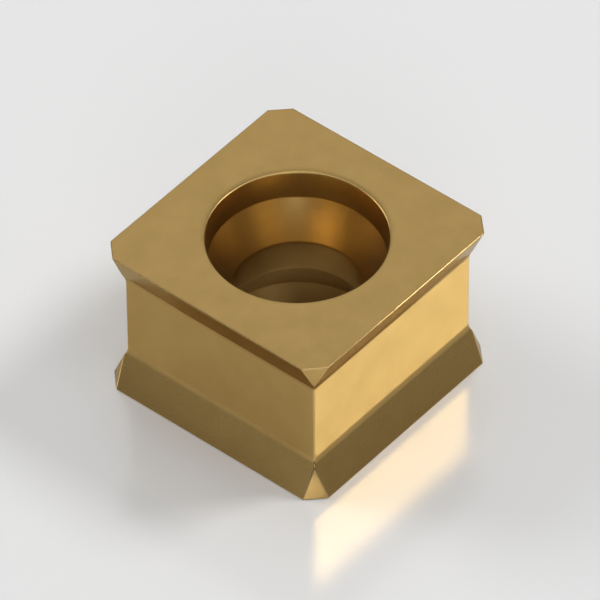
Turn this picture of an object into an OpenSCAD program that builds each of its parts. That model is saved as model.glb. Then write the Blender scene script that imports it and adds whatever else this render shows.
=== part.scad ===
// A double-sided square cutting insert, pressed and sintered as one solid, ground and coated.
// The origin lies on the axis of the screw hole, in the lower cutting face. +Z points up,
// and the sides run along X and Y. The upper and lower halves mirror each other.

/* [Block] */
// Side of the square, measured over the cutting edges
side = 12.7; // [11:0.1:16]
// Thickness over both cutting faces
thickness = 8.34; // [7:0.01:11]
// Width of the 45 degree land honed on every cutting edge
land = 0.05; // [0.02:0.01:0.15]

/* [Flanks and waist] */
// Height of a sloped flank, from its cutting edge down to where it would meet the waist
flank_h = 1.84; // [1.2:0.01:2.4]
// How far the waist stands in behind the cutting edges
waist_in = 0.83; // [0.5:0.01:1.1]
// Radius of the hollow root where a flank runs into the waist
root_r = 1.1; // [0.3:0.05:2]

/* [Corners] */
// Leg of the 45 degree chamfer across each corner of a cutting face
corner_leg = 0.82; // [0.6:0.01:1.2]
// Tilt of the three-sided corner facet below that chamfer, from the hole's axis
corner_tilt = 15.2; // [10:0.1:16]

/* [Screw hole] */
// Diameter of the bore that the clamp screw passes through
bore_d = 6.15; // [5.2:0.05:6.8]
// Included angle of the conical seat under the screw's head
seat_angle = 55.6; // [45:0.1:70]
// Diameter of the pocket at the top of the seat
pocket_d = 8.17; // [7:0.01:8.3]
// Diameter of the pocket at its rim, wider by the draft that lets the punch out
rim_d = 8.33; // [8.2:0.01:9.6]
// Depth of the pocket, from the cutting face to the top of the seat
pocket_depth = 1.44; // [0.8:0.01:1.8]
// Width of the 45 degree land that breaks the pocket's rim
rim_land = 0.06; // [0.02:0.01:0.2]

/* [Hidden] */
$fn = 96;

// Heights are measured from the middle of the thickness, where the two halves meet
face_z = thickness / 2;
edge_z = face_z - land;

// Half-widths of the block at a cutting edge and at the waist
edge_x = side / 2;
waist_x = edge_x - waist_in;

// The root is an arc that touches the waist and the flank
flank_slope = atan(waist_in / flank_h);
root_z = edge_z - flank_h - root_r * tan(flank_slope / 2);
root_centre = [waist_x + root_r, root_z];
root_end = root_centre + root_r * [-cos(flank_slope), sin(flank_slope)];

// The corner facet, seen in the upright plane through a diagonal
facet_edge = (side - corner_leg) / sqrt(2);
facet_foot_z = edge_z - flank_h;
facet_foot = facet_edge - flank_h * tan(corner_tilt);

// The seat's height follows from its angle and the two diameters that it joins
seat_z = face_z - pocket_depth;
seat_h = (pocket_d - bore_d) / 2 / tan(seat_angle / 2);

// What a cut runs past the faces that it opens
past = 2;
// What a root's circle is larger by, so that no step is left where its arc ends
overcut = 0.00002;

// The lower half of an outline, from the points of its upper half
function flipped(points) = [for (i = [len(points) - 1 : -1 : 0]) [points[i].x, -points[i].y]];

// Section of the block across one pair of sides, with its four hollow roots
module waisted_section() {
    upper = [
        [waist_x, root_z],
        root_centre,
        root_end,
        [edge_x, edge_z],
        [edge_x - land, face_z]
    ];
    right = concat(flipped(upper), upper);
    difference() {
        polygon(concat(right, -right));
        for (x = [-1, 1], z = [-1, 1]) {
            translate([x * root_centre.x, z * root_centre.y]) circle(root_r + overcut);
        }
    }
}

// A bar of that section, as ground along one pair of sides
module ground_bar() {
    rotate([90, 0, 0]) linear_extrude(side + past, center = true) waisted_section();
}

// What the grinding wheel takes off one corner of a cutting face
module corner_cut() {
    rotate([90, 0, 0]) linear_extrude(side, center = true) polygon([
        [facet_foot, facet_foot_z],
        [facet_edge, edge_z],
        [facet_edge - land, face_z],
        [facet_edge - land, face_z + past],
        [facet_edge + past, face_z + past],
        [facet_edge + past, facet_foot_z]
    ]);
}

module corner_cuts() {
    for (quarter = [0 : 3], turned = [0, 1]) {
        rotate([180 * turned, 0, 45 + 90 * quarter]) corner_cut();
    }
}

// The screw hole: a bore between two seats, each below its own pocket
module screw_hole() {
    upper = [
        [bore_d / 2, seat_z - seat_h],
        [pocket_d / 2, seat_z],
        [rim_d / 2, face_z - rim_land],
        [rim_d / 2 + rim_land, face_z],
        [rim_d / 2 + rim_land, face_z + past],
        [0, face_z + past]
    ];
    rotate_extrude() polygon(concat(flipped(upper), upper));
}

module insert() {
    color("goldenrod") translate([0, 0, face_z]) difference() {
        intersection() {
            ground_bar();
            rotate([0, 0, 90]) ground_bar();
        }
        corner_cuts();
        screw_hole();
    }
}

insert();
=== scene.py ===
import math

import bmesh
import bpy
from mathutils import Matrix, Vector


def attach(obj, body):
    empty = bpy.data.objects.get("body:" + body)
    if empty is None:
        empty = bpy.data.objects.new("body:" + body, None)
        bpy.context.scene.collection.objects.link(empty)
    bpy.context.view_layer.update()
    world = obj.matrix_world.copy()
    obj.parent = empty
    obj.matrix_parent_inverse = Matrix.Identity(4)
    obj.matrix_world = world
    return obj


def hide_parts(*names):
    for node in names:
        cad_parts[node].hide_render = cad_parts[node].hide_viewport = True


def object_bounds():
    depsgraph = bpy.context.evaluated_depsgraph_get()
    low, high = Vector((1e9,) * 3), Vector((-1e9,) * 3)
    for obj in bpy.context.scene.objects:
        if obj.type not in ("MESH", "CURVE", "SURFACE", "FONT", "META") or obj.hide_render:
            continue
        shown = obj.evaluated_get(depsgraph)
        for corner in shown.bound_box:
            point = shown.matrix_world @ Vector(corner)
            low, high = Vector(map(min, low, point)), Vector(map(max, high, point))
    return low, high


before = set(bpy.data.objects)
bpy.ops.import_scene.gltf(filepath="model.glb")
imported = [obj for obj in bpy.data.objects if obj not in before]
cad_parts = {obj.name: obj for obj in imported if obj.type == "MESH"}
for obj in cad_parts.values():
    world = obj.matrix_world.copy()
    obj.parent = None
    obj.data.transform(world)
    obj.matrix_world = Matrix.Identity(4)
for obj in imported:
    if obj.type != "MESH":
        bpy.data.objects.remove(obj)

cadLow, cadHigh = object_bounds()
scene = bpy.context.scene
scene.view_settings.view_transform = "Standard"
print("stage 1: frame loaded, its box is", [round(v * 1000, 3) for v in cadHigh - cadLow], "mm")

# The insert's own sizes in millimetres and degrees. Its side and thickness come from the frame.
mm = 0.001           # metres in a millimetre
near = 0.001         # how far off a height still counts as the same, in millimetres
weld = 0.0001        # how close points are merged, in millimetres
insertSizes = {
    "cornerLeg": 0.82,       # chamfer across each corner of a cutting face
    "cornerTilt": 15.2,      # lean of the three-sided facet below that chamfer
    "flankHeight": 1.84,     # from a cutting edge to where its flank would meet the waist
    "waistIn": 0.83,         # how far the waist stands in behind the cutting edges
    "rootRadius": 1.1,       # hollow root between flank and waist
    "rootSteps": 6,
    "land": 0.05,            # the frame's 45 degree land, which the hone stays inside
    "hone": 0.065,           # width of the rounding on every outer edge
    "honeSteps": 3,
    "honedFrom": 30,         # edges that turn by less than this stay as they are
    "boreDiameter": 6.15,
    "seatAngle": 55.6,       # included angle of the screw's seat
    "pocketDiameter": 8.17,  # at the top of the seat
    "rimDiameter": 8.337,    # at the cutting face, wider by the pocket's draft
    "pocketDepth": 1.44,
    "collar": 0.4,           # flat ring turned together with the hole
    "rimRound": 0.06,
    "seatTopRound": 0.05,
    "boreEdgeRound": 0.08,
    "roundSteps": 3,
    "holeSteps": 144,
}


def outsideLevels(s, half, faceZ):
    # Half-widths and heights from the middle of the waist up to the cutting face. The corners of the
    # root's steps stand a little off its arc, so that the arc's ends are tangent.
    slope = math.atan(s["waistIn"] / s["flankHeight"])
    step = slope / s["rootSteps"]
    centreX = half - s["waistIn"] + s["rootRadius"]
    centreZ = faceZ - s["land"] - s["flankHeight"] - s["rootRadius"] * math.tan(slope / 2)
    reach = s["rootRadius"] / math.cos(step / 2)
    turns = [(n + 0.5) * step for n in range(s["rootSteps"])]
    root = [(centreX - reach * math.cos(t), centreZ + reach * math.sin(t)) for t in turns]
    return [(half - s["waistIn"], 0)] + root + [(half + s["land"] * math.tan(slope), faceZ)]


def stackUpperHalf(bm, levels):
    bmesh.ops.create_grid(bm, x_segments=1, y_segments=1, size=levels[0][0])
    bmesh.ops.delete(bm, geom=bm.faces[:], context="FACES_ONLY")
    ring = bm.edges[:]
    for (width, height), (nextWidth, nextHeight) in zip(levels, levels[1:]):
        made = bmesh.ops.extrude_edge_only(bm, edges=ring)["geom"]
        verts = [v for v in made if isinstance(v, bmesh.types.BMVert)]
        ring = [e for e in made if isinstance(e, bmesh.types.BMEdge) and set(e.verts) <= set(verts)]
        grow = nextWidth / width
        bmesh.ops.scale(bm, vec=(grow, grow, 1), verts=verts)
        bmesh.ops.translate(bm, vec=(0, 0, nextHeight - height), verts=verts)
    bmesh.ops.contextual_create(bm, geom=ring)


def grindCorners(bm, s, half, faceZ, flankFoot):
    tilt = math.radians(s["cornerTilt"])
    for quarter in range(4):
        turn = math.radians(45 + 90 * quarter)
        outward = Vector((math.cos(turn), math.sin(turn), 0))
        touch = outward * (2 * half - s["cornerLeg"]) / math.sqrt(2) + Vector((0, 0, faceZ - s["land"]))
        normal = outward * math.cos(tilt) - Vector((0, 0, math.sin(tilt)))
        verts = [v for v in bm.verts if v.co.z > flankFoot - near]
        edges = [e for e in bm.edges if all(v.co.z > flankFoot - near for v in e.verts)]
        faces = [f for f in bm.faces if all(v.co.z > flankFoot - near for v in f.verts)]
        cut = bmesh.ops.bisect_plane(bm, geom=verts + edges + faces, dist=weld / 10,
                                     plane_co=touch, plane_no=normal, clear_outer=True)
        bmesh.ops.edgeloop_fill(bm, edges=[e for e in cut["geom_cut"] if isinstance(e, bmesh.types.BMEdge)])


def turnHole(bm, s, faceZ):
    seatZ = faceZ - s["pocketDepth"]
    seatDrop = (s["pocketDiameter"] - s["boreDiameter"]) / 2 / math.tan(math.radians(s["seatAngle"] / 2))
    upper = [
        (s["rimDiameter"] / 2 + s["collar"], faceZ),
        (s["rimDiameter"] / 2, faceZ),
        (s["pocketDiameter"] / 2, seatZ),
        (s["boreDiameter"] / 2, seatZ - seatDrop),
    ]
    line = upper + [(r, -z) for r, z in reversed(upper)]
    verts = [bm.verts.new((r, 0, z)) for r, z in line]
    for pair in zip(verts, verts[1:]):
        bm.edges.new(pair)
    for corner, size in enumerate((s["rimRound"], s["seatTopRound"], s["boreEdgeRound"]), 1):
        bmesh.ops.bevel(bm, geom=[verts[corner], verts[-1 - corner]], offset=size, offset_type="OFFSET",
                        affect="VERTICES", segments=s["roundSteps"], profile=0.5, material=-1)
    wire = [e for e in bm.edges if not e.link_faces]
    points = list({v for e in wire for v in e.verts})
    bmesh.ops.spin(bm, geom=points + wire, cent=(0, 0, 0), axis=(0, 0, 1), angle=math.tau,
                   steps=s["holeSteps"], use_merge=True)


def isFlat(face):
    return abs(face.normal.z) > 0.999   # level to within about 2.6 degrees


def buildInsert(s):
    half = (cadHigh.x - cadLow.x) / 2 / mm
    faceZ = (cadHigh.z - cadLow.z) / 2 / mm
    bm = bmesh.new()
    honedMask = bm.faces.layers.float.new("honed")   # face masks that the coating reads
    groundMask = bm.faces.layers.float.new("ground")
    pressedMask = bm.faces.layers.float.new("pressed")
    levels = outsideLevels(s, half, faceZ)
    stackUpperHalf(bm, levels)
    grindCorners(bm, s, half, faceZ, levels[-2][1])
    bmesh.ops.mirror(bm, geom=bm.verts[:] + bm.edges[:] + bm.faces[:], matrix=Matrix.Identity(4),
                     merge_dist=weld, axis="Z")
    middle = [e for e in bm.edges if all(abs(v.co.z) < near for v in e.verts)]
    bmesh.ops.dissolve_edges(bm, edges=middle, use_verts=True)
    bmesh.ops.recalc_face_normals(bm, faces=bm.faces)
    sharp = [e for e in bm.edges if e.calc_face_angle(0) > math.radians(s["honedFrom"])]
    honed = bmesh.ops.bevel(bm, geom=sharp, offset=s["hone"], offset_type="OFFSET", affect="EDGES",
                            segments=s["honeSteps"], profile=0.5, material=-1)["faces"]
    for face in bm.faces:
        face[groundMask] = 1
    for face in honed:
        face[honedMask] = 1
        face[groundMask] = 0
    caps = [f for f in bm.faces if isFlat(f)]
    print("   ", len(sharp), "edges honed into", len(honed), "faces,", len(caps), "cutting faces")
    bmesh.ops.delete(bm, geom=caps, context="FACES_ONLY")
    outside = set(bm.faces)
    turnHole(bm, s, faceZ)
    for face in set(bm.faces) - outside:
        face[pressedMask] = 0 if isFlat(face) else 1
    for side in (-1, 1):
        rims = [e for e in bm.edges if e.is_boundary]
        border = [e for e in rims if all(abs(v.co.z - side * faceZ) < near for v in e.verts)]
        bmesh.ops.triangle_fill(bm, edges=border, use_beauty=True, normal=(0, 0, side))
    bmesh.ops.remove_doubles(bm, verts=bm.verts, dist=weld)
    bmesh.ops.recalc_face_normals(bm, faces=bm.faces)
    print("   ", sum(not e.is_manifold for e in bm.edges), "open edges,", round(bm.calc_volume(), 2), "mm3")
    for face in bm.faces:
        face.smooth = True
    bmesh.ops.scale(bm, vec=(mm, mm, mm), verts=bm.verts)
    bmesh.ops.translate(bm, vec=((cadLow + cadHigh) / 2), verts=bm.verts)
    mesh = bpy.data.meshes.new("coatedInsert")
    bm.to_mesh(mesh)
    bm.free()
    piece = bpy.data.objects.new("coatedInsert", mesh)
    scene.collection.objects.link(piece)
    weighted = piece.modifiers.new("flatFaces", "WEIGHTED_NORMAL")
    weighted.mode = "FACE_AREA"
    return piece


insert = buildInsert(insertSizes)
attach(insert, "root")
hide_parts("insert")
print("stage 2: insert modelled,", len(insert.data.polygons), "faces")

# The gold coloured coating. Lengths are in metres, and colours are linear.
coating = {
    "colour": (0.548, 0.362, 0.129, 1),
    "deepColour": (0.520, 0.341, 0.118, 1),     # where the coating is a little thicker
    "wornAndHighlitColour": (0.600, 0.412, 0.168, 1),     # lighter on the honed edges: partly worn coating, partly a painted edge highlight
    "edgeTint": (0.78, 0.72, 0.58, 1),          # keeps faces seen at a grazing angle gold
    "cloudLength": 0.0014,       # soft clouding of the colour
    "cloudDetail": 4,
    "cloudBand": (0.35, 0.65),   # the part of the noise that turns the colour from one to the other
    "grainLength": 0.00007,      # blasted grain
    "grainDetail": 2,
    "grainDepth": 0.0000009,
    "pitLength": 0.00022,        # scattered shallow dimples of the pressed powder
    "pitDetail": 1,
    "pitBand": (0.2, 0.42),      # only the lowest of the noise makes a dimple
    "pitDepth": 0.0000014,
    "lineLength": 0.000045,      # across the grinding lines of the flanks and the waist
    "lineStretch": 0.03,
    "lineDetail": 3,
    "lineDepth": 0.0000005,
    "wearAndHighlightBand": (0.3, 0.6),
    "leastWearAndHighlight": 0.55,           # the honed edges get at least this much of the lighter colour, worn coating and painted highlight
    "roughness": 0.2,
    "roughnessSpread": 0.035,
    "glossBand": (0.3, 0.7),
    "speckleBand": (0.25, 0.75),
    "groundRoughness": -0.012,   # what grinding adds to it
    "honedRoughness": -0.03,
    "pressedRoughness": 0.14,    # in the hole, which is left as pressed
}


def coatedCarbide(c):
    material = bpy.data.materials.new("coatedCarbide")
    material.use_nodes = True
    tree = material.node_tree
    shader = tree.nodes["Principled BSDF"]
    shader.inputs["Metallic"].default_value = 1
    shader.inputs["Specular Tint"].default_value = c["edgeTint"]

    def node(kind, label, **values):
        made = tree.nodes.new(kind)
        made.label = label
        for name, value in values.items():
            setattr(made, name, value)
        return made

    def noise(label, length, detail, vector):
        made = node("ShaderNodeTexNoise", label)
        made.inputs["Scale"].default_value = 1 / length
        made.inputs["Detail"].default_value = detail
        tree.links.new(vector, made.inputs["Vector"])
        return made.outputs["Fac"]

    def spread(label, value, band, newBand):
        made = node("ShaderNodeMapRange", label)
        for name, number in zip(("From Min", "From Max", "To Min", "To Max"), band + newBand):
            made.inputs[name].default_value = number
        tree.links.new(value, made.inputs["Value"])
        return made.outputs["Result"]

    def combine(label, operation, first, second):
        made = node("ShaderNodeMath", label, operation=operation)
        for socket, value in zip(made.inputs, (first, second)):
            if isinstance(value, (int, float)):
                socket.default_value = value
            else:
                tree.links.new(value, socket)
        return made.outputs["Value"]

    def blendColours(label, mask, first, second):
        made = node("ShaderNodeMix", label, data_type="RGBA")
        tree.links.new(mask, made.inputs["Factor"])
        for name, value in (("A", first), ("B", second)):
            socket = next(i for i in made.inputs if i.name == name and i.type == "RGBA")
            if isinstance(value, tuple):
                socket.default_value = value
            else:
                tree.links.new(value, socket)
        return next(o for o in made.outputs if o.type == "RGBA")

    def bump(label, height, depth, normal=None):
        made = node("ShaderNodeBump", label)
        made.inputs["Strength"].default_value = 1
        made.inputs["Distance"].default_value = depth
        tree.links.new(height, made.inputs["Height"])
        if normal:
            tree.links.new(normal, made.inputs["Normal"])
        return made.outputs["Normal"]

    place = node("ShaderNodeTexCoord", "place on the insert").outputs["Object"]
    honed = node("ShaderNodeAttribute", "honed edges", attribute_name="honed").outputs["Fac"]
    ground = node("ShaderNodeAttribute", "ground sides", attribute_name="ground").outputs["Fac"]
    pressed = node("ShaderNodeAttribute", "pressed hole", attribute_name="pressed").outputs["Fac"]

    cloud = noise("clouding", c["cloudLength"], c["cloudDetail"], place)
    grain = noise("blasted grain", c["grainLength"], c["grainDetail"], place)
    pits = noise("pressed powder", c["pitLength"], c["pitDetail"], place)
    stretched = node("ShaderNodeMapping", "along the sides")
    stretched.inputs["Scale"].default_value = (c["lineStretch"], c["lineStretch"], 1)
    tree.links.new(place, stretched.inputs["Vector"])
    lines = noise("grinding lines", c["lineLength"], c["lineDetail"], stretched.outputs["Vector"])

    deep = spread("thicker coating", cloud, c["cloudBand"], (0, 1))
    clouded = blendColours("clouded gold", deep, c["colour"], c["deepColour"])
    patchy = spread("patchy rub and painted highlight", grain, c["wearAndHighlightBand"], (c["leastWearAndHighlight"], 1))
    # The honed edges are lightened and broken up by the grain: partly worn coating, partly a painted
    # highlight along the edges
    wearAndHighlight = combine("broken up", "MULTIPLY", honed, patchy)
    tree.links.new(blendColours("worn edges with painted highlight", wearAndHighlight, clouded, c["wornAndHighlitColour"]), shader.inputs["Base Color"])

    step = c["roughnessSpread"] / 2
    rough = spread("clouded gloss", cloud, c["glossBand"], (c["roughness"] - step, c["roughness"] + step))
    speckle = spread("grain in the gloss", grain, c["speckleBand"], (-step, step))
    rough = combine("with the grain", "ADD", rough, speckle)
    for glossLabel, addLabel, mask, amount in (
        ("ground gloss", "with grinding", ground, c["groundRoughness"]),
        ("honed gloss", "with honing", honed, c["honedRoughness"]),
        ("pressed gloss", "with pressing", pressed, c["pressedRoughness"]),
    ):
        rough = combine(addLabel, "ADD", rough, combine(glossLabel, "MULTIPLY", mask, amount))
    tree.links.new(rough, shader.inputs["Roughness"])

    dimples = spread("only the deepest", pits, c["pitBand"], (0, 1))
    groundLines = combine("on the sides", "MULTIPLY", lines, ground)
    normal = bump("grinding", groundLines, c["lineDepth"])
    normal = bump("dimples", dimples, c["pitDepth"], normal)
    tree.links.new(bump("grain", grain, c["grainDepth"], normal), shader.inputs["Normal"])
    return material


insert.data.materials.append(coatedCarbide(coating))
print("stage 3: coating made")

# Where the photograph was taken from. The insert's middle is aimed at, less a small offset.
shot = {
    "azimuth": 49.9244,      # degrees, from +Y towards +X, of the line of sight
    "elevation": 44.8170,
    "roll": -0.5358,
    "distance": 0.40853,
    "lens": 540.74,          # mm on that sensor
    "sensor": 36,
    "nearest": 0.01,         # nothing closer than this is drawn
    "aside": (0.0000908, 0.0001226),
}


def placeCamera(c):
    az, el, roll = (math.radians(c[k]) for k in ("azimuth", "elevation", "roll"))
    forward = Vector((math.sin(az) * math.cos(el), math.cos(az) * math.cos(el), -math.sin(el)))
    levelRight = Vector((math.cos(az), -math.sin(az), 0))
    levelUp = levelRight.cross(forward)
    right = levelRight * math.cos(roll) + levelUp * math.sin(roll)
    up = levelUp * math.cos(roll) - levelRight * math.sin(roll)
    aim = (cadLow + cadHigh) / 2 + right * c["aside"][0] + up * c["aside"][1]
    camera = bpy.data.objects.new("photoCamera", bpy.data.cameras.new("photoCamera"))
    scene.collection.objects.link(camera)
    turned = Matrix((right, up, -forward)).transposed()
    camera.matrix_world = Matrix.Translation(aim - forward * c["distance"]) @ turned.to_4x4()
    camera.data.lens = c["lens"]
    camera.data.sensor_width = c["sensor"]
    camera.data.clip_start = c["nearest"]
    scene.camera = camera


placeCamera(shot)

# A sheet of satin white acrylic, in which the metal sees itself and the lamps
table = {
    "halfWidth": 1.5,
    "drop": 0.00001,             # how far it lies below the insert
    "colour": (0.9, 0.9, 0.9, 1),
    "polish": 0.18,              # roughness of the sheet and of its clear coat
    "gloss": 1.5,                # refractive index of both
}


def layTable(t):
    mesh = bpy.data.meshes.new("paleFloor")
    bm = bmesh.new()
    bmesh.ops.create_grid(bm, x_segments=1, y_segments=1, size=t["halfWidth"])
    bmesh.ops.translate(bm, vec=(0, 0, -t["drop"]), verts=bm.verts)
    bm.to_mesh(mesh)
    bm.free()
    floor = bpy.data.objects.new("paleFloor", mesh)
    scene.collection.objects.link(floor)
    acrylic = bpy.data.materials.new("whiteAcrylic")
    acrylic.use_nodes = True
    shader = acrylic.node_tree.nodes["Principled BSDF"]
    shader.inputs["Base Color"].default_value = t["colour"]
    shader.inputs["Roughness"].default_value = t["polish"]
    shader.inputs["IOR"].default_value = t["gloss"]
    shader.inputs["Coat Weight"].default_value = 1
    shader.inputs["Coat Roughness"].default_value = t["polish"]
    shader.inputs["Coat IOR"].default_value = t["gloss"]
    mesh.materials.append(acrylic)


# Round softboxes, all at one distance and turned to the insert. Azimuth is from +Y towards +X.
boxDistance = 0.7
softboxes = {
    "keyBox": {"azimuth": 125.2, "elevation": 46.6, "width": 0.222, "watts": 1.60},
    "fillBox": {"azimuth": 343.3, "elevation": 32.8, "width": 0.346, "watts": 1.54},
    "frontBox": {"azimuth": 228.5, "elevation": 23.5, "width": 0.321, "watts": 0.50},
    "overheadRight": {"azimuth": 183.2, "elevation": 65.7, "width": 0.326, "watts": 0.50},
    "overheadBack": {"azimuth": 46.5, "elevation": 70.5, "width": 0.300, "watts": 0.38},
    "backCard": {"azimuth": 50.0, "elevation": 40.0, "width": 0.280, "watts": 0.09},
    "sideCard": {"azimuth": 291.0, "elevation": 3.0, "width": 0.157, "watts": 0.018},
}


def hangSoftboxes(boxes):
    aim = (cadLow + cadHigh) / 2
    for name, box in boxes.items():
        az, el = math.radians(box["azimuth"]), math.radians(box["elevation"])
        outward = Vector((math.sin(az) * math.cos(el), math.cos(az) * math.cos(el), math.sin(el)))
        lamp = bpy.data.objects.new(name, bpy.data.lights.new(name, "AREA"))
        scene.collection.objects.link(lamp)
        lamp.data.shape = "DISK"
        lamp.data.size = box["width"]
        lamp.data.energy = box["watts"]
        turned = outward.to_track_quat("Z", "Y").to_matrix().to_4x4()
        lamp.matrix_world = Matrix.Translation(aim + outward * boxDistance) @ turned
        lamp.visible_camera = False


# The studio room: brightness at heights up the sky, from the horizon (0) to overhead (1)
room = [(0.0, 0.1), (0.2, 0.1), (0.45, 0.3), (1.0, 0.3)]


def paintRoom(stops):
    world = bpy.data.worlds.new("studio")
    scene.world = world
    world.use_nodes = True
    tree = world.node_tree
    ramp = tree.nodes.new("ShaderNodeValToRGB")
    ramp.color_ramp.elements[0].position = stops[0][0]
    ramp.color_ramp.elements[1].position = stops[-1][0]
    for height, _ in stops[1:-1]:
        ramp.color_ramp.elements.new(height)
    for element, (_, level) in zip(ramp.color_ramp.elements, stops):
        element.color = (level, level, level, 1)
    split = tree.nodes.new("ShaderNodeSeparateXYZ")
    tree.links.new(tree.nodes.new("ShaderNodeTexCoord").outputs["Generated"], split.inputs[0])
    tree.links.new(split.outputs["Z"], ramp.inputs["Fac"])
    tree.links.new(ramp.outputs["Color"], tree.nodes["Background"].inputs["Color"])


layTable(table)
hangSoftboxes(softboxes)
paintRoom(room)
print("stage 4: camera, floor and lamps placed")

print("stage 5: finished")
